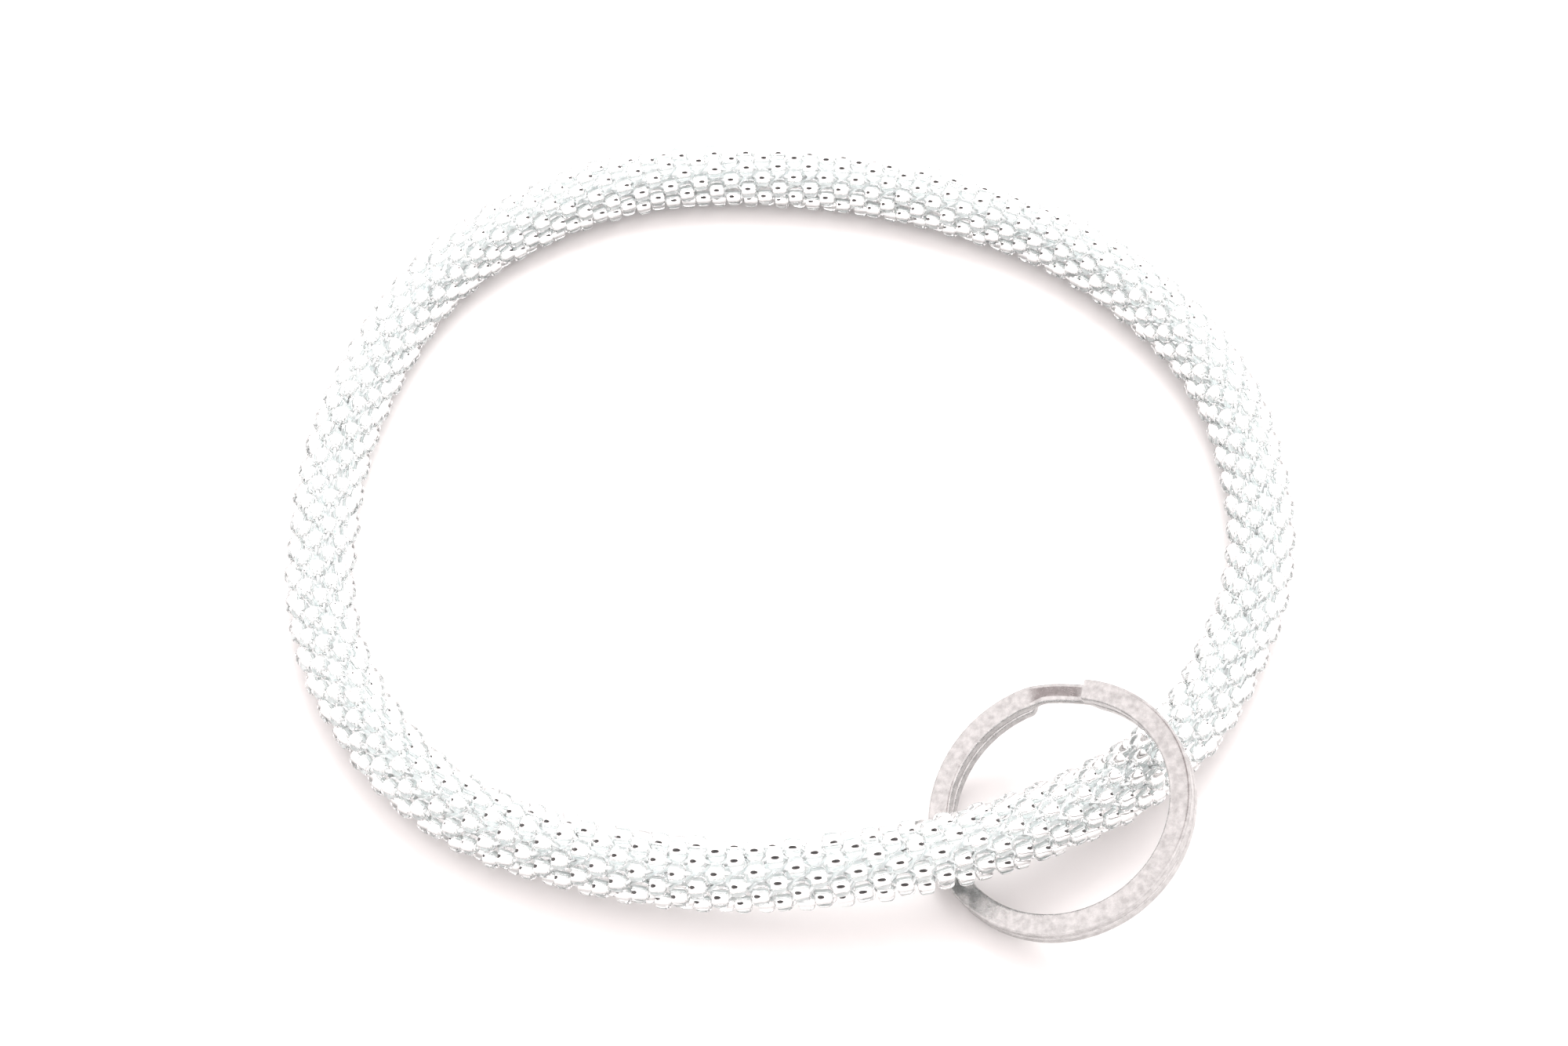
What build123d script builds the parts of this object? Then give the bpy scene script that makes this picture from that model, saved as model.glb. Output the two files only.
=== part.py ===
from build123d import *
import os
from math import cos, pi, radians, sin, tan

# A beaded crochet rope bangle: glass seed beads worked in rounds over a thread tube,
# its two ends joined into one closed loop, with a flat wire split ring threaded round it.
# The bangle lies on its side on Z = 0, and its bounding box is centred on the origin.

# Bead rope
ROPE_D = 7.0
BEAD_D = 2.0
BEAD_LENGTH = 1.52
BEAD_HOLE_D = 0.76
BEAD_END_R = 0.6
BEAD_COUNT = 1080
BEADS_PER_NODE = 27
BEAD_STEP_ANGLE = 55.0  # from one bead on the working thread to the next, round the rope
BEAD_LEAN = 5.0  # each bead leans along the spiral of the work
THREAD_CORE_D = 2.7

# Split ring
RING_D = 25.0
WIRE_WIDTH = 2.05
WIRE_THICK = 1.15
WIRE_CORNER_R = 0.28
COIL_GAP = 0.06
CRANK_ANGLE = 28.0  # the stretch, from the wire's square end, where it crosses between the coils
CRANK_STEPS = 6
TAIL_ANGLE = 30.0  # where the wire's other end begins to round off
RING_CENTRE = (23.94, -37.36, 7.20)  # on the top face of the upper coil
RING_START_DIR = (0.2375, 0.9375, 0.2544)  # from the centre to the square end
RING_AXIS = (-0.375, -0.153, 0.914)

# The rope's route, through the middle of the rope: the loop lies flat, and rises
# over the low side of the ring that it is threaded through.
ROUTE = [
    (44.9, 18.4, 3.5),
    (29.8, 36.9, 3.5),
    (6.5, 46.1, 3.5),
    (-18.2, 46.3, 3.5),
    (-37.7, 33.3, 3.5),
    (-46.5, 10.0, 3.5),
    (-46.4, -16.3, 3.5),
    (-33.6, -36.0, 3.5),
    (-9.7, -44.4, 4.9),
    (15.3, -42.9, 7.3),
    (35.8, -31.2, 4.9),
    (47.4, -7.0, 3.5),
]
BEND_SHARE = 0.45  # of the shorter run beside each corner, taken up by the bend


def bend_radius(before, corner, after):
    back, ahead = Vector(before) - Vector(corner), Vector(after) - Vector(corner)
    turn = 180 - back.get_angle(ahead)
    return BEND_SHARE * min(back.length, ahead.length) / tan(radians(turn / 2))


def write(part, name):
    part.label = name
    export_step(part, f"parts/{name}.step")


os.makedirs("parts", exist_ok=True)

bends = [bend_radius(ROUTE[i - 1], ROUTE[i], ROUTE[(i + 1) % len(ROUTE)]) for i in range(len(ROUTE))]
print("bend radii:", [round(r, 1) for r in bends])

with BuildLine() as route:
    FilletPolyline(*ROUTE, radius=bends, close=True)
rope_line = route.wire()

# Thread core: the crochet stitches make a tube of thread inside the beads. It is swept
# stretch by stretch, because the loop is closed.
with BuildPart() as thread_core:
    for stretch in rope_line.edges():
        with BuildSketch(Plane(origin=stretch @ 0, z_dir=stretch % 0)):
            Circle(THREAD_CORE_D / 2)
        sweep(path=stretch)
write(thread_core.part, "thread_core")
section_times_length = Face(Wire.make_circle(THREAD_CORE_D / 2)).area * rope_line.length
print("rope length:", round(rope_line.length, 2))
print("core volume:", round(thread_core.part.volume, 2), "section x length:", round(section_times_length, 2))

# One bead: a round-ended glass tube on its own axis, centred on its middle.
with BuildPart() as bead:
    with BuildSketch(Plane.XZ):
        with BuildLine():
            half = BEAD_LENGTH / 2
            bore, wall = BEAD_HOLE_D / 2, BEAD_D / 2
            Polyline((bore, -half), (wall - BEAD_END_R, -half))
            JernArc((wall - BEAD_END_R, -half), (1, 0), BEAD_END_R, 90)
            Line((wall, BEAD_END_R - half), (wall, half - BEAD_END_R))
            JernArc((wall, half - BEAD_END_R), (0, 1), BEAD_END_R, 90)
            Polyline((wall - BEAD_END_R, half), (bore, half), (bore, -half))
        make_face()
    revolve(axis=Axis.Z)


def bead_place(number):
    """The bead's own axes, where the working thread lays it on the rope."""
    share = number / BEAD_COUNT
    tangent = (rope_line % share).normalized()
    up = (Vector(0, 0, 1) - tangent * tangent.Z).normalized()
    outward = tangent.cross(up)
    angle = radians(BEAD_STEP_ANGLE * number)
    radial = up * cos(angle) + outward * sin(angle)
    round_rope = outward * cos(angle) - up * sin(angle)
    lean = radians(BEAD_LEAN)
    axis = tangent * cos(lean) - round_rope * sin(lean)
    centre = rope_line @ share + radial * (ROPE_D - BEAD_D) / 2
    return Location(Plane(origin=centre, x_dir=radial, z_dir=axis))


# Beads, in runs along the working thread, one node for each run of neighbouring beads
for first in range(0, BEAD_COUNT, BEADS_PER_NODE):
    places = [bead_place(number) for number in range(first, first + BEADS_PER_NODE)]
    with BuildPart() as bead_run:
        with Locations(*places):
            add(bead.part)
    write(bead_run.part, f"bead_run_{first // BEADS_PER_NODE + 1:02d}")


# Split ring: one wire, wound twice and cranked once so that its two coils lie flat together
coil_pitch = WIRE_THICK + COIL_GAP
mid_radius = (RING_D - WIRE_WIDTH) / 2
ring_place = Plane(origin=RING_CENTRE, x_dir=RING_START_DIR, z_dir=RING_AXIS).location
ring_axis = Axis(RING_CENTRE, RING_AXIS)


def across_wire(angle, depth):
    """The plane across the wire, this far round the ring and this far below its top."""
    return Plane(ring_place * Rot(0, 0, angle) * Pos(mid_radius, 0, -depth - WIRE_THICK / 2) * Rot(-90, 0, 0))


with BuildPart() as split_ring:
    for angle, depth in ((CRANK_ANGLE, 0), (TAIL_ANGLE, coil_pitch)):
        with BuildSketch(across_wire(angle, depth)):
            RectangleRounded(WIRE_WIDTH, WIRE_THICK, WIRE_CORNER_R)
        revolve(axis=ring_axis, revolution_arc=360 - angle)
    for step in range(CRANK_STEPS + 1):
        share = step / CRANK_STEPS
        with BuildSketch(across_wire(CRANK_ANGLE * (1 - share), coil_pitch * (1 - cos(pi * share)) / 2)):
            RectangleRounded(WIRE_WIDTH, WIRE_THICK, WIRE_CORNER_R)
    loft()
    tail = across_wire(TAIL_ANGLE, coil_pitch)
    with BuildSketch(tail):
        RectangleRounded(WIRE_WIDTH, WIRE_THICK, WIRE_CORNER_R)
        split(bisect_by=Plane.YZ)
    revolve(axis=Axis(tail.origin, tail.y_dir), revolution_arc=180)
write(split_ring.part, "split_ring")
print("ring volume:", round(split_ring.part.volume, 2), "solids:", len(split_ring.part.solids()))
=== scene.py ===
import math

import bpy
import numpy as np
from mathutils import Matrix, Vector

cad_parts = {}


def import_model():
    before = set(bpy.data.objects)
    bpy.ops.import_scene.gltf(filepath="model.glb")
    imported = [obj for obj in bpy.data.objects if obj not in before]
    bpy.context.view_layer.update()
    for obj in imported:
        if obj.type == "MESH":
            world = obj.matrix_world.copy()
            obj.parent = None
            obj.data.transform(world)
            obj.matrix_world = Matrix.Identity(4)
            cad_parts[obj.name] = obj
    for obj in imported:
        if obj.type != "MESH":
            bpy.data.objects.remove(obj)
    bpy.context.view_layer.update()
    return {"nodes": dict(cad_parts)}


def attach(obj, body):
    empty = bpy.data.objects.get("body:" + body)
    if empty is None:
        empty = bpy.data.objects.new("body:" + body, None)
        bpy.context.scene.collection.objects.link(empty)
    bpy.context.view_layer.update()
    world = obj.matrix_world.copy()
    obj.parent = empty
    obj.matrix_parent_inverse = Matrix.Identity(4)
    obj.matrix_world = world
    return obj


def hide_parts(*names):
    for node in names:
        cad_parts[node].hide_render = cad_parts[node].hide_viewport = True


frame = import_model()

MM = 0.001
ROPE = "rope"
RING = "split_ring"
BEAD_RUNS = sorted(name for name in frame["nodes"] if name.startswith("bead_run_"))

# Camera: distances in metres, angles in degrees
CAMERA_AIM = (-0.0009, 0.0007, 0.0)
CAMERA_ELEVATION = 52.0
CAMERA_DISTANCE = 0.2989
CAMERA_LENS = 68.1

FLOOR_SIZE = 1.5

# Light: distances in metres, angles in degrees, power in watts
WORLD_COLOUR = (1.0, 0.935, 0.93, 1)
WORLD_STRENGTH = 1.82
HORIZON_SHARE = 0.6  # of the full brightness, at the horizon
HORIZON_TOP = 0.35  # height of the direction at which the brightness is full
KEY_PLACE = (0.08, 0.35, 0.55)
KEY_SIZE = 0.4
KEY_POWER = 2.6
CARD_ELEVATION = 45.0
CARD_DISTANCE = 0.32
CARD_HALF_WIDTH = 0.10
CARD_HALF_HEIGHT = 0.20
CARD_TONE = 0.01
ROOF_DIRECTION = (-0.10, 0.24, 0.96)
ROOF_DISTANCE = 0.5
ROOF_RADIUS = 0.16
ROOF_TONE = 0.42
CARD_SIDES = 40

# Beads
BEAD_RADIUS = 1.0 * MM
BEAD_HALF_LENGTH = 0.78 * MM
BEAD_END_RADIUS = 0.5 * MM
BORE_RADIUS = 0.36 * MM
LINING_OUTER_RADIUS = 0.50 * MM
LINING_WAIST_RADIUS = 0.45 * MM
LINING_INNER_RADIUS = 0.33 * MM
LINING_HALF_LENGTH = 0.72 * MM
BEAD_LEAN = math.radians(5.0)
BEAD_SIDES = 22
END_STEPS = 4
LINING_STEPS = 8
SIZE_SPREAD = 0.025
LEAN_SPREAD = math.radians(2.0)
WINDOW = 400  # samples of the rope's line, each way, that are searched for a bead's nearest point

# Thread
THREAD_RADIUS = 0.19 * MM
THREAD_SIDES = 6
THREAD_IN_BEAD = 0.9  # share of the bead's half length
THREAD_TURN_REACH = 1.9 * MM  # from the rope's middle line to the thread as it leaves a bead
THREAD_TURN_LENGTH = 1.15 * MM
THREAD_CROSSING_REACH = 1.30 * MM
CORE_RADIUS = 1.28 * MM
STITCH_DEPTH = 0.14 * MM
CORE_SIDES = 39
CORE_ROWS = 1800
STITCHES_ROUND = 6.5
STITCH_LENGTH = 1.62 * MM
STITCH_SLANT = 0.9

# Split ring: angles in degrees, along the wire from its rounded end to its square end on top
RING_RADIUS = 11.475 * MM
RING_CENTRE = (23.94 * MM, -37.36 * MM, 7.20 * MM)
RING_START_DIR = (0.2375, 0.9375, 0.2544)
RING_AXIS = (-0.375, -0.153, 0.914)
COIL_PITCH = 1.21 * MM
COIL_THICK = 1.15 * MM
WIRE_WIDTH = 2.05 * MM
WIRE_THICK = 1.09 * MM
WIRE_CORNER = 0.26 * MM
CRANK_WIDTH = 1.84 * MM
CRANK_CORNER = 0.46 * MM
MAX_CORNER_SHARE = 0.48  # of the width, where the tail end narrows
CRANK_SHIFT = 0.10 * MM
TAIL_START, CRANK_START, CRANK_END, WIRE_END = 30.0, 360.0, 388.0, 720.0
CRANK_BLEND = 9.0
WIRE_STEP = 1.5
TAIL_STEPS = 9
TAIL_TIP_WIDTH = 0.06 * MM
CORNER_STEPS = 4
FLAT_POINTS = (-0.86, 0.0, 0.86)
END_BEVEL = 0.12 * MM
END_SHRINK = 0.93
SHARP_EDGE = math.radians(40)

rng = np.random.default_rng(7)


# ---------------------------------------------------------------- geometry from the frame

def islands(mesh):
    """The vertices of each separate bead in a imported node, as a list of arrays."""
    count = len(mesh.vertices)
    points = np.empty(count * 3)
    mesh.vertices.foreach_get("co", points)
    points = points.reshape(-1, 3)
    _, same_place = np.unique(np.round(points, 7), axis=0, return_inverse=True)
    same_place = same_place.ravel()
    edges = np.empty(len(mesh.edges) * 2, dtype=int)
    mesh.edges.foreach_get("vertices", edges)
    edges = same_place[edges.reshape(-1, 2)]
    label = np.arange(same_place.max() + 1)
    while True:
        lowest = np.minimum(label[edges[:, 0]], label[edges[:, 1]])
        before = label.copy()
        np.minimum.at(label, edges[:, 0], lowest)
        np.minimum.at(label, edges[:, 1], lowest)
        label = label[label]
        if (label == before).all():
            break
    of_vertex = label[same_place]
    return [points[of_vertex == one] for one in np.unique(of_vertex)]


def middle(points):
    """The middle of a turned shape: the mean of its separate vertex places."""
    places = np.unique(np.round(points, 7), axis=0)
    return places.mean(axis=0)


def rope_line(centres, harmonics=26, samples=14400):
    """The middle line of the rope and its tangents, fitted to the beads that go round it."""
    bearing = np.arctan2(centres[:, 1], centres[:, 0])
    reach = np.hypot(centres[:, 0], centres[:, 1])

    def waves(angle):
        rows = [np.ones_like(angle)]
        for n in range(1, harmonics + 1):
            rows += [np.cos(n * angle), np.sin(n * angle)]
        return np.stack(rows, axis=1)

    table = waves(bearing)
    reach_fit = np.linalg.lstsq(table, reach, rcond=None)[0]
    height_fit = np.linalg.lstsq(table, centres[:, 2], rcond=None)[0]
    angle = np.linspace(-math.pi, math.pi, samples, endpoint=False)
    table = waves(angle)
    radius = table @ reach_fit
    line = np.stack([radius * np.cos(angle), radius * np.sin(angle), table @ height_fit], axis=1)
    tangent = np.roll(line, -1, axis=0) - np.roll(line, 1, axis=0)
    tangent /= np.linalg.norm(tangent, axis=1)[:, None]
    return line, tangent


def unit(vectors):
    """The vectors, each at length 1."""
    return vectors / np.linalg.norm(vectors, axis=-1, keepdims=True)


centres, run_of_bead = [], []
for run, name in enumerate(BEAD_RUNS):
    for points in islands(frame["nodes"][name].data):
        centres.append(middle(points))
        run_of_bead.append(run)
centres = np.array(centres)
run_of_bead = np.array(run_of_bead)
line, line_tangent = rope_line(centres)

bearings = np.arctan2(centres[:, 1], centres[:, 0])
nearest = np.empty(len(centres), dtype=int)
for i, centre in enumerate(centres):
    guess = int((bearings[i] + math.pi) / (2 * math.pi) * len(line))
    window = (guess + np.arange(-WINDOW, WINDOW + 1)) % len(line)
    nearest[i] = window[np.argmin(np.linalg.norm(line[window] - centre, axis=1))]
order = np.argsort(nearest)
centres, run_of_bead, nearest = centres[order], run_of_bead[order], nearest[order]
feet = line[nearest]
along = line_tangent[nearest]
outward = centres - feet
outward -= (outward * along).sum(axis=1)[:, None] * along
outward = unit(outward)
around = np.cross(along, outward)
BEADS = len(centres)

lean = BEAD_LEAN + rng.normal(0, LEAN_SPREAD, BEADS)
tip = rng.normal(0, LEAN_SPREAD, BEADS)
axes = unit(along * np.cos(lean)[:, None] - around * np.sin(lean)[:, None]
            + outward * np.sin(tip)[:, None])
bead_x = unit(np.cross(around, axes))
bead_y = np.cross(axes, bead_x)
width_scale = 1 - SIZE_SPREAD + rng.uniform(-SIZE_SPREAD, SIZE_SPREAD, BEADS)
length_scale = 1 - SIZE_SPREAD + rng.uniform(-SIZE_SPREAD, SIZE_SPREAD, BEADS)


# ---------------------------------------------------------------- mesh building

def mesh_object(name, verts, faces, material_index=None, smooth=True):
    """A mesh of faces that all have the same number of sides."""
    mesh = bpy.data.meshes.new(name)
    verts = np.asarray(verts, dtype=np.float32)
    faces = np.asarray(faces, dtype=np.int32)
    sides = faces.shape[1]
    mesh.vertices.add(len(verts))
    mesh.vertices.foreach_set("co", verts.ravel())
    mesh.loops.add(faces.size)
    mesh.loops.foreach_set("vertex_index", faces.ravel())
    mesh.polygons.add(len(faces))
    mesh.polygons.foreach_set("loop_start", np.arange(0, faces.size, sides, dtype=np.int32))
    mesh.update(calc_edges=True)
    mesh.validate()
    if material_index is not None:
        mesh.polygons.foreach_set("material_index", np.asarray(material_index, dtype=np.int32))
    mesh.polygons.foreach_set("use_smooth", np.full(len(mesh.polygons), smooth))
    obj = bpy.data.objects.new(name, mesh)
    bpy.context.scene.collection.objects.link(obj)
    return obj


def turned_profile(points, sides):
    """A closed (radius, height) outline turned round the Z axis: vertices and quads."""
    outline = np.asarray(points)
    angle = np.arange(sides) * 2 * math.pi / sides
    verts = np.stack([outline[None, :, 0] * np.cos(angle)[:, None],
                      outline[None, :, 0] * np.sin(angle)[:, None],
                      np.broadcast_to(outline[None, :, 1], (sides, len(outline)))], axis=2)
    n = len(outline)
    i, j = np.meshgrid(np.arange(sides), np.arange(n), indexing="ij")
    nxt, up = (i + 1) % sides, (j + 1) % n
    quads = np.stack([i * n + j, nxt * n + j, nxt * n + up, i * n + up], axis=2).reshape(-1, 4)
    return verts.reshape(-1, 3), quads


def glass_outline():
    """Half of the bead's section: straight bore, flat rim and rounded ends."""
    flat = BEAD_RADIUS - BEAD_END_RADIUS
    points = [(BORE_RADIUS, BEAD_HALF_LENGTH), (BORE_RADIUS, -BEAD_HALF_LENGTH)]
    for step in range(END_STEPS + 1):
        turn = math.pi / 2 * step / END_STEPS
        points.append((flat + BEAD_END_RADIUS * math.sin(turn),
                       -BEAD_HALF_LENGTH + BEAD_END_RADIUS * (1 - math.cos(turn))))
    points += [(r, -z) for r, z in reversed(points[2:])]
    return points


def lining_outline():
    """Half of the lining's section: a thin sleeve, narrowest in the middle."""
    points = [(LINING_INNER_RADIUS, LINING_HALF_LENGTH), (LINING_INNER_RADIUS, -LINING_HALF_LENGTH)]
    for step in range(LINING_STEPS + 1):
        place = 2 * step / LINING_STEPS - 1
        flare = (LINING_OUTER_RADIUS - LINING_WAIST_RADIUS) * place ** 2
        points.append((LINING_WAIST_RADIUS + flare, LINING_HALF_LENGTH * place))
    return points


def bead_run(run):
    """One run of beads as one mesh: glass on the first material slot, lining on the second."""
    members = np.flatnonzero(run_of_bead == run)
    glass_verts, glass_quads = turned_profile(glass_outline(), BEAD_SIDES)
    lining_verts, lining_quads = turned_profile(lining_outline(), BEAD_SIDES)
    shape = np.concatenate([glass_verts, lining_verts])
    quads = np.concatenate([glass_quads, lining_quads + len(glass_verts)])
    kinds = np.concatenate([np.zeros(len(glass_quads)), np.ones(len(lining_quads))])
    verts, faces = [], []
    for place, k in enumerate(members):
        local = shape * (width_scale[k], width_scale[k], length_scale[k])
        verts.append(centres[k] + local[:, :1] * bead_x[k] + local[:, 1:2] * bead_y[k]
                     + local[:, 2:] * axes[k])
        faces.append(quads + place * len(shape))
    return mesh_object(BEAD_RUNS[run].replace("bead_run", "beads"), np.concatenate(verts),
                       np.concatenate(faces), np.tile(kinds, len(members)))


def tube(name, path, radius, sides):
    """A round tube along a closed path, its section carried along without twisting."""
    path = np.asarray(path)
    tangent = unit(np.roll(path, -1, axis=0) - np.roll(path, 1, axis=0))
    side = np.empty_like(path)
    side[0] = unit(np.cross(tangent[0], (0.3, 0.2, 0.9)))
    for i in range(1, len(path)):
        carried = side[i - 1] - tangent[i] * (side[i - 1] @ tangent[i])
        side[i] = carried / np.linalg.norm(carried)
    other = np.cross(tangent, side)
    angle = np.arange(sides) * 2 * math.pi / sides
    section = (side[:, None] * np.cos(angle)[None, :, None]
               + other[:, None] * np.sin(angle)[None, :, None])
    verts = (path[:, None] + radius * section).reshape(-1, 3)
    i, j = np.meshgrid(np.arange(len(path)), np.arange(sides), indexing="ij")
    nxt, turn = (i + 1) % len(path), (j + 1) % sides
    quads = np.stack([i * sides + j, i * sides + turn, nxt * sides + turn, nxt * sides + j], axis=2)
    return mesh_object(name, verts, quads.reshape(-1, 4))


def working_thread():
    """The thread: through each bead's hole, down into the core and up to the next bead."""
    points = []
    for k in range(BEADS):
        n = (k + 1) % BEADS
        inside = BEAD_HALF_LENGTH * THREAD_IN_BEAD
        points.append(centres[k] - axes[k] * inside)
        points.append(centres[k] + axes[k] * inside)
        points.append(feet[k] + outward[k] * THREAD_TURN_REACH + axes[k] * THREAD_TURN_LENGTH)
        across = unit(outward[k] + outward[n])
        points.append((feet[k] + feet[n]) / 2 + across * THREAD_CROSSING_REACH)
        points.append(feet[n] + outward[n] * THREAD_TURN_REACH - axes[n] * THREAD_TURN_LENGTH)
    return tube("working_thread", points, THREAD_RADIUS, THREAD_SIDES)


def stitched_core():
    """The tube of crochet stitches, in rows of plump V-shaped loops."""
    pick = (np.arange(CORE_ROWS) * len(line) / CORE_ROWS).astype(int)
    centre, tangent = line[pick], line_tangent[pick]
    up = unit(np.array([0, 0, 1.0]) - tangent * tangent[:, 2:])
    out = np.cross(tangent, up)
    turn = np.arange(CORE_SIDES) * 2 * math.pi / CORE_SIDES
    travelled = np.cumsum(np.linalg.norm(centre - np.roll(centre, 1, axis=0), axis=1))
    across = turn[None, :] * STITCHES_ROUND
    wave = np.abs(np.sin(travelled[:, None] / STITCH_LENGTH * math.pi + turn[None, :] / 2))
    plump = np.abs(np.sin(across + STITCH_SLANT * wave)) * np.sqrt(wave)
    radius = CORE_RADIUS - STITCH_DEPTH * (1 - plump)
    verts = (centre[:, None] + radius[:, :, None] * (up[:, None] * np.cos(turn)[None, :, None]
                                                     + out[:, None] * np.sin(turn)[None, :, None]))
    i, j = np.meshgrid(np.arange(CORE_ROWS), np.arange(CORE_SIDES), indexing="ij")
    nxt, beside = (i + 1) % CORE_ROWS, (j + 1) % CORE_SIDES
    quads = np.stack([i * CORE_SIDES + j, i * CORE_SIDES + beside,
                      nxt * CORE_SIDES + beside, nxt * CORE_SIDES + j], axis=2)
    return mesh_object("stitched_core", verts.reshape(-1, 3), quads.reshape(-1, 4))


def wire_section(width, thick, corner):
    """A rounded rectangle, always with the same number of points."""
    points = []
    for quarter, (side, top) in enumerate(((1, 1), (-1, 1), (-1, -1), (1, -1))):
        middle_x, middle_y = side * (width / 2 - corner), top * (thick / 2 - corner)
        for step in range(CORNER_STEPS + 1):
            turn = math.pi / 2 * (quarter + step / CORNER_STEPS)
            points.append((middle_x + corner * math.cos(turn), middle_y + corner * math.sin(turn)))
        flat = (thick if quarter % 2 else width) / 2 - corner
        for place in FLAT_POINTS:
            if quarter % 2 == 0:
                points.append((-side * flat * place, top * thick / 2))
            else:
                points.append((side * width / 2, -top * flat * place))
    return np.array(points)


def wire_stations():
    """Along the wire: angle, depth below the upper coil, width, and pinch from 0 to 1."""
    stations = []
    for step in range(TAIL_STEPS, 0, -1):
        turn = math.pi / 2 * step / TAIL_STEPS
        reach = WIRE_WIDTH / 2 * math.sin(turn)
        width = WIRE_WIDTH * math.cos(turn) + TAIL_TIP_WIDTH
        stations.append((TAIL_START - math.degrees(reach / RING_RADIUS), COIL_PITCH, width, 0.0))
    for angle in np.arange(TAIL_START, WIRE_END + WIRE_STEP / 2, WIRE_STEP):
        share = min(max((angle - CRANK_START) / (CRANK_END - CRANK_START), 0), 1)
        depth = COIL_PITCH * (1 + math.cos(math.pi * share)) / 2
        entering = min(max((angle - CRANK_START + CRANK_BLEND) / CRANK_BLEND, 0), 1)
        leaving = min(max((CRANK_END - angle) / CRANK_BLEND, 0), 1)
        pinch = min(entering, leaving)
        pinch = pinch * pinch * (3 - 2 * pinch)
        stations.append((angle, depth, WIRE_WIDTH + (CRANK_WIDTH - WIRE_WIDTH) * pinch, pinch))
    return stations


def split_ring():
    """The spring wire of the ring, wound twice, narrower and rounder where it is cranked."""
    centre = np.array(RING_CENTRE)
    axis, start = unit(np.array(RING_AXIS)), unit(np.array(RING_START_DIR))
    beside = np.cross(axis, start)
    rings = []
    for angle, depth, width, pinch in wire_stations():
        turn = math.radians(angle)
        radial = start * math.cos(turn) + beside * math.sin(turn)
        corner = min(WIRE_CORNER + (CRANK_CORNER - WIRE_CORNER) * pinch, width * MAX_CORNER_SHARE)
        place = (centre + radial * (RING_RADIUS + CRANK_SHIFT * pinch)
                 - axis * (depth + COIL_THICK / 2))
        section = wire_section(width, WIRE_THICK, corner)
        rings.append(place + section[:, :1] * radial + section[:, 1:] * axis)
    last = rings[-1]
    last_middle, before_middle = last.mean(axis=0), rings[-2].mean(axis=0)
    rings[-1] = last - unit(last_middle - before_middle) * END_BEVEL
    rings.append(last_middle + (last - last_middle) * END_SHRINK)
    rings.append(np.tile(last_middle, (len(last), 1)))
    rings.insert(0, np.tile(rings[0].mean(axis=0), (len(last), 1)))
    verts = np.concatenate(rings)
    sides = len(rings[0])
    i, j = np.meshgrid(np.arange(len(rings) - 1), np.arange(sides), indexing="ij")
    beyond = (j + 1) % sides
    quads = np.stack([i * sides + j, i * sides + beyond,
                      (i + 1) * sides + beyond, (i + 1) * sides + j], axis=2)
    faces = quads.reshape(-1, 4)
    # The cap faces of the square end take the second slot, which is painted shade.
    shaded_cap_face = np.zeros(len(faces), dtype=int)
    shaded_cap_face[-sides:] = 1
    wire = mesh_object("ring_wire", verts, faces, shaded_cap_face)
    wire.data.set_sharp_from_angle(angle=SHARP_EDGE)
    return wire


# ---------------------------------------------------------------- materials

def new_material(name):
    """A material with its nodes, its links and its main shader."""
    material = bpy.data.materials.new(name)
    material.use_nodes = True
    tree = material.node_tree
    return material, tree.nodes, tree.links, tree.nodes["Principled BSDF"]


def noise(nodes, links, scale, detail=3.0, stretch=None):
    """A noise texture in object space, with its scale in features per metre."""
    coords = nodes.new("ShaderNodeTexCoord")
    texture = nodes.new("ShaderNodeTexNoise")
    texture.inputs["Scale"].default_value = scale
    texture.inputs["Detail"].default_value = detail
    if stretch is None:
        links.new(coords.outputs["Object"], texture.inputs["Vector"])
    else:
        mapping = nodes.new("ShaderNodeMapping")
        mapping.inputs["Scale"].default_value = stretch
        links.new(coords.outputs["Object"], mapping.inputs["Vector"])
        links.new(mapping.outputs["Vector"], texture.inputs["Vector"])
    return texture


def ramp(nodes, links, source, stops):
    """Colours at places along a value from 0 to 1."""
    colours = nodes.new("ShaderNodeValToRGB")
    links.new(source, colours.inputs["Fac"])
    elements = colours.color_ramp.elements
    elements[0].position, elements[0].color = stops[0][0], (*stops[0][1], 1)
    elements[1].position, elements[1].color = stops[-1][0], (*stops[-1][1], 1)
    for position, colour in stops[1:-1]:
        elements.new(position).color = (*colour, 1)
    return colours


def bump(nodes, links, height, strength, distance, bsdf):
    """Surface relief from a height, on the shader's normal."""
    node = nodes.new("ShaderNodeBump")
    node.inputs["Strength"].default_value = strength
    node.inputs["Distance"].default_value = distance
    links.new(height, node.inputs["Height"])
    links.new(node.outputs["Normal"], bsdf.inputs["Normal"])


def spread(nodes, links, source, low, high):
    """A value from 0 to 1 spread between two limits."""
    node = nodes.new("ShaderNodeMapRange")
    node.inputs["To Min"].default_value = low
    node.inputs["To Max"].default_value = high
    links.new(source, node.inputs["Value"])
    return node.outputs["Result"]


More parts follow.
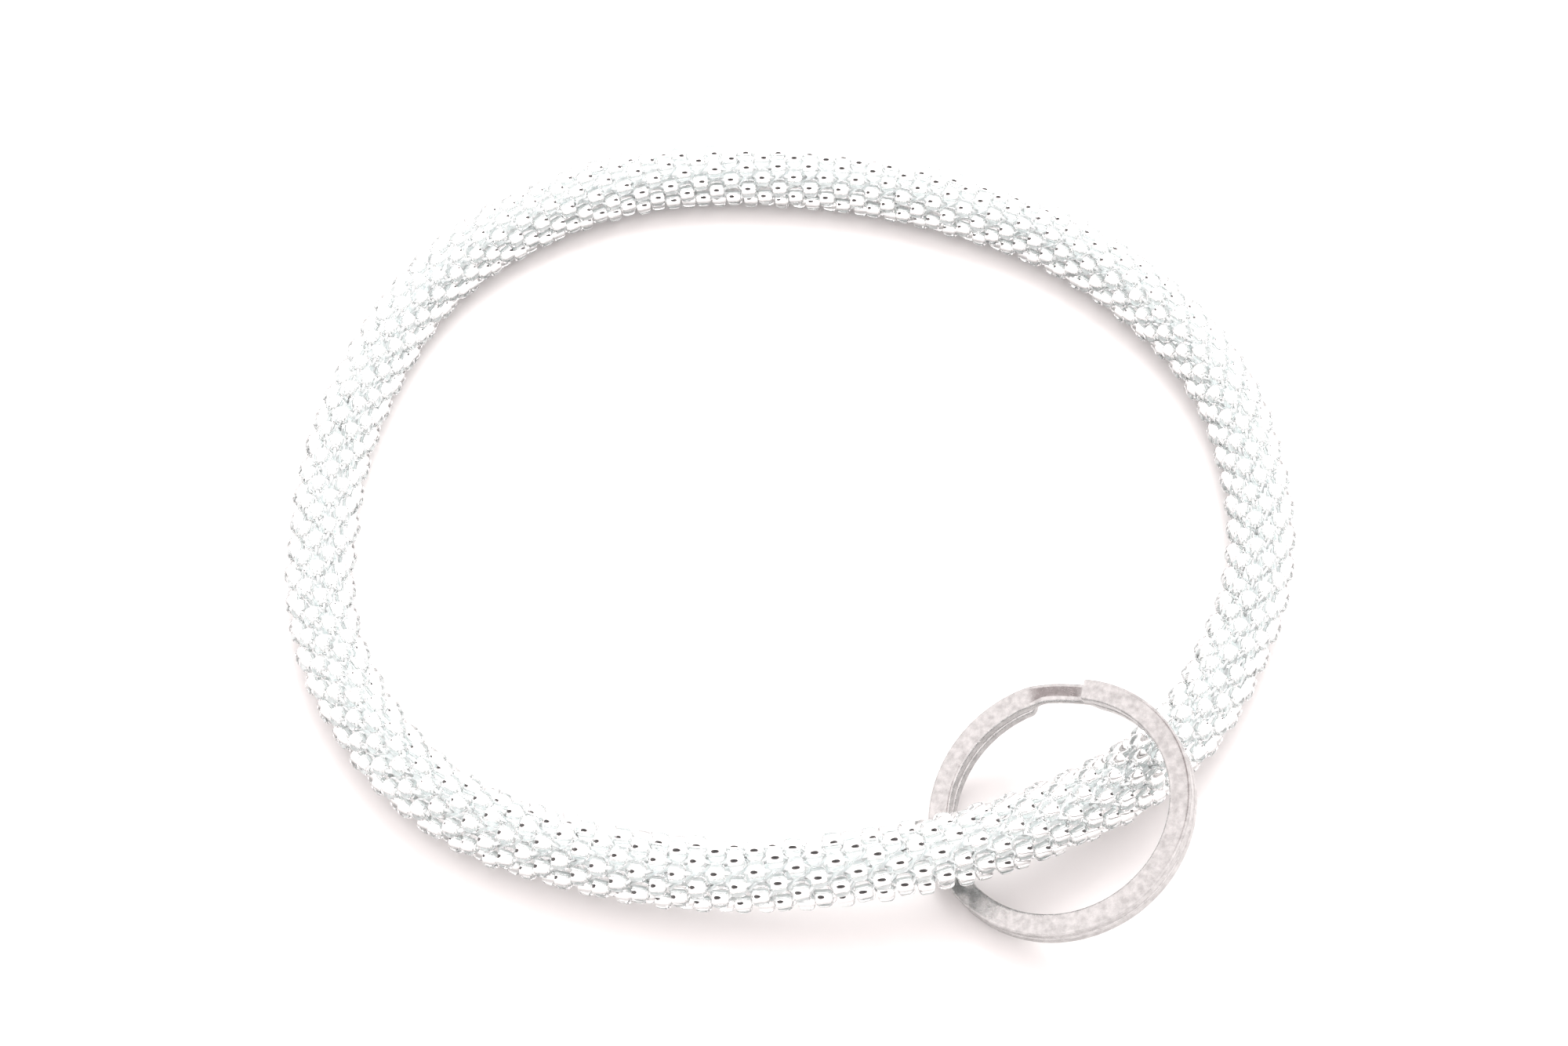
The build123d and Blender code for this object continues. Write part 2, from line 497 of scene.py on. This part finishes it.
def glass_material():
    """Clear seed bead glass, which lets lamps through to the thread behind it."""
    material, nodes, links, bsdf = new_material("bead_glass")
    bsdf.inputs["Transmission Weight"].default_value = 1.0
    bsdf.inputs["IOR"].default_value = 1.45
    cloud = noise(nodes, links, 700.0)
    tint = ramp(nodes, links, cloud.outputs["Fac"],
                [(0.3, (0.982, 0.997, 0.997)), (0.7, (0.994, 1.0, 1.0))])
    links.new(tint.outputs["Color"], bsdf.inputs["Base Color"])
    links.new(spread(nodes, links, cloud.outputs["Fac"], 0.0, 0.01), bsdf.inputs["Roughness"])
    ripple = noise(nodes, links, 1100.0, 1.0)
    bump(nodes, links, ripple.outputs["Fac"], 0.05, 0.01 * MM, bsdf)
    path = nodes.new("ShaderNodeLightPath")
    clear = nodes.new("ShaderNodeBsdfTransparent")
    clear.inputs["Color"].default_value = (0.985, 0.99, 0.99, 1)
    mix = nodes.new("ShaderNodeMixShader")
    links.new(path.outputs["Is Shadow Ray"], mix.inputs["Fac"])
    links.new(bsdf.outputs["BSDF"], mix.inputs[1])
    links.new(clear.outputs["BSDF"], mix.inputs[2])
    links.new(mix.outputs["Shader"], nodes["Material Output"].inputs["Surface"])
    return material


def lining_material():
    """The silvered bore of the bead, slightly uneven."""
    material, nodes, links, bsdf = new_material("silver_lining")
    bsdf.inputs["Metallic"].default_value = 1.0
    cloud = noise(nodes, links, 1500.0)
    tint = ramp(nodes, links, cloud.outputs["Fac"],
                [(0.3, (0.95, 0.95, 0.95)), (0.7, (0.99, 0.99, 0.985))])
    links.new(tint.outputs["Color"], bsdf.inputs["Base Color"])
    links.new(spread(nodes, links, cloud.outputs["Fac"], 0.01, 0.06), bsdf.inputs["Roughness"])
    bump(nodes, links, cloud.outputs["Fac"], 0.05, 0.02 * MM, bsdf)
    return material


def thread_material():
    """Twisted white crochet thread."""
    material, nodes, links, bsdf = new_material("crochet_thread")
    bsdf.inputs["Roughness"].default_value = 0.8
    bsdf.inputs["Sheen Weight"].default_value = 0.3
    fibre = noise(nodes, links, 3500.0, 4.0, (1.0, 1.0, 0.35))
    tint = ramp(nodes, links, fibre.outputs["Fac"],
                [(0.25, (0.88, 0.93, 0.93)), (0.7, (0.94, 0.99, 0.99))])
    links.new(tint.outputs["Color"], bsdf.inputs["Base Color"])
    bump(nodes, links, fibre.outputs["Fac"], 0.6, 0.06 * MM, bsdf)
    return material


def steel_material():
    """Plated spring wire, rolled flat and tumbled: mottled, with fine marks and duller patches."""
    material, nodes, links, bsdf = new_material("ring_steel")
    bsdf.inputs["Metallic"].default_value = 1.0
    patches = noise(nodes, links, 1500.0, 8.0)
    marks = noise(nodes, links, 2600.0, 8.0)
    tint = ramp(nodes, links, patches.outputs["Fac"],
                [(0.34, (0.40, 0.398, 0.395)), (0.5, (0.475, 0.473, 0.470)),
                 (0.66, (0.54, 0.538, 0.535))])
    links.new(tint.outputs["Color"], bsdf.inputs["Base Color"])
    links.new(spread(nodes, links, marks.outputs["Fac"], 0.16, 0.36), bsdf.inputs["Roughness"])
    bump(nodes, links, marks.outputs["Fac"], 0.35, 0.03 * MM, bsdf)
    return material


def painted_shade_end_material():
    """The sheared end of the wire: dull, and painted near-black as shade for the shadowed gap
    between the square end and the crank under it.
    """
    material, nodes, links, bsdf = new_material("painted_shade_end")
    bsdf.inputs["Metallic"].default_value = 1.0
    bsdf.inputs["Roughness"].default_value = 0.6
    grain = noise(nodes, links, 3000.0)
    # Painted shade: the near-black colour stands in for the shadow in the gap at the square end.
    tint = ramp(nodes, links, grain.outputs["Fac"],
                [(0.3, (0.07, 0.06, 0.06)), (0.7, (0.16, 0.14, 0.14))])
    links.new(tint.outputs["Color"], bsdf.inputs["Base Color"])
    return material


def floor_material():
    """Plain matt white."""
    material, nodes, links, bsdf = new_material("floor_white")
    bsdf.inputs["Base Color"].default_value = (0.78, 0.77, 0.767, 1)
    bsdf.inputs["Roughness"].default_value = 0.9
    bsdf.inputs["Specular IOR Level"].default_value = 0.1
    return material


# ---------------------------------------------------------------- camera, floor and light

def camera():
    """The photograph's viewpoint, level and straight in front."""
    data = bpy.data.cameras.new("camera")
    data.lens = CAMERA_LENS
    data.sensor_width = 36.0
    data.clip_start, data.clip_end = 0.01, 10.0
    obj = bpy.data.objects.new("camera", data)
    bpy.context.scene.collection.objects.link(obj)
    rise = math.radians(CAMERA_ELEVATION)
    back = Vector((0, -math.cos(rise), math.sin(rise)))
    obj.location = Vector(CAMERA_AIM) + back * CAMERA_DISTANCE
    obj.rotation_euler = (-back).to_track_quat("-Z", "Y").to_euler()
    bpy.context.scene.camera = obj


def floor():
    """The plain white ground."""
    corners = [(x * FLOOR_SIZE, y * FLOOR_SIZE, 0) for x, y in ((-1, -1), (1, -1), (1, 1), (-1, 1))]
    obj = mesh_object("floor", corners, [(0, 1, 2, 3)], smooth=False)
    obj.data.materials.append(floor_material())


def area_light(name, location, size, power, colour):
    """A round soft lamp that faces the object and shows in no reflection."""
    data = bpy.data.lights.new(name, "AREA")
    data.shape = "DISK"
    data.size = size
    data.energy = power
    data.color = colour
    obj = bpy.data.objects.new(name, data)
    bpy.context.scene.collection.objects.link(obj)
    obj.location = location
    obj.rotation_euler = Vector(location).to_track_quat("Z", "Y").to_euler()
    obj.visible_glossy = False


def dark_card(name, toward, distance, half_width, half_height, tone):
    """A dark oval, facing the object, that shows only in reflections."""
    back = Vector(toward).normalized()
    across = Vector((1, 0, 0))
    up = back.cross(across).normalized()
    corners = []
    for step in range(CARD_SIDES):
        turn = 2 * math.pi * step / CARD_SIDES
        corners.append(Vector(CAMERA_AIM) + back * distance
                       + across * half_width * math.cos(turn) + up * half_height * math.sin(turn))
    obj = mesh_object(name, corners, [tuple(range(CARD_SIDES))], smooth=False)
    material, nodes, links, bsdf = new_material(name)
    bsdf.inputs["Base Color"].default_value = (tone, tone * 0.9, tone * 0.9, 1)
    bsdf.inputs["Roughness"].default_value = 1.0
    obj.data.materials.append(material)
    obj.visible_camera = False
    obj.visible_diffuse = False
    obj.visible_shadow = False
    return obj


def world():
    """A faintly warm white all round, as in a light tent, less bright towards the horizon."""
    scene_world = bpy.data.worlds.new("studio")
    scene_world.use_nodes = True
    bpy.context.scene.world = scene_world
    nodes, links = scene_world.node_tree.nodes, scene_world.node_tree.links
    background = nodes["Background"]
    background.inputs["Color"].default_value = WORLD_COLOUR
    coords = nodes.new("ShaderNodeTexCoord")
    height = nodes.new("ShaderNodeSeparateXYZ")
    links.new(coords.outputs["Generated"], height.inputs["Vector"])
    brightness = nodes.new("ShaderNodeMapRange")
    brightness.inputs["From Max"].default_value = HORIZON_TOP
    brightness.inputs["To Min"].default_value = WORLD_STRENGTH * HORIZON_SHARE
    brightness.inputs["To Max"].default_value = WORLD_STRENGTH
    links.new(height.outputs["Z"], brightness.inputs["Value"])
    links.new(brightness.outputs["Result"], background.inputs["Strength"])


camera()
floor()
# The dark opening round the camera makes a small mark in each lining.
card_rise = math.radians(CARD_ELEVATION)
lens_card = dark_card("lens_card", (0, -math.cos(card_rise), math.sin(card_rise)), CARD_DISTANCE,
                      CARD_HALF_WIDTH, CARD_HALF_HEIGHT, CARD_TONE)
lens_card.visible_glossy = False
# A grey panel overhead darkens the sloping crank of the ring, and not its flat faces.
roof_card = dark_card("roof_card", ROOF_DIRECTION, ROOF_DISTANCE,
                      ROOF_RADIUS, ROOF_RADIUS, ROOF_TONE)
roof_card.visible_transmission = False
world()
area_light("key", KEY_PLACE, KEY_SIZE, KEY_POWER, (1.0, 0.99, 0.985))
scene = bpy.context.scene
scene.view_settings.view_transform = "Standard"
# Light passes through many glass walls before it leaves the beads.
scene.cycles.max_bounces = 32
scene.cycles.transmission_bounces = 32
scene.cycles.glossy_bounces = 16
scene.cycles.diffuse_bounces = 8
scene.cycles.transparent_max_bounces = 64


# ---------------------------------------------------------------- the pieces

glass, lining, thread = glass_material(), lining_material(), thread_material()
for run, name in enumerate(BEAD_RUNS):
    beads = bead_run(run)
    beads.data.materials.append(glass)
    beads.data.materials.append(lining)
    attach(beads, ROPE)
    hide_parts(name)

for piece in (working_thread(), stitched_core()):
    piece.data.materials.append(thread)
    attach(piece, ROPE)
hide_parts("thread_core")

ring = split_ring()
ring.data.materials.append(steel_material())
# Second slot: painted shade on the square end's cap.
ring.data.materials.append(painted_shade_end_material())
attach(ring, "ring")
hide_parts(RING)
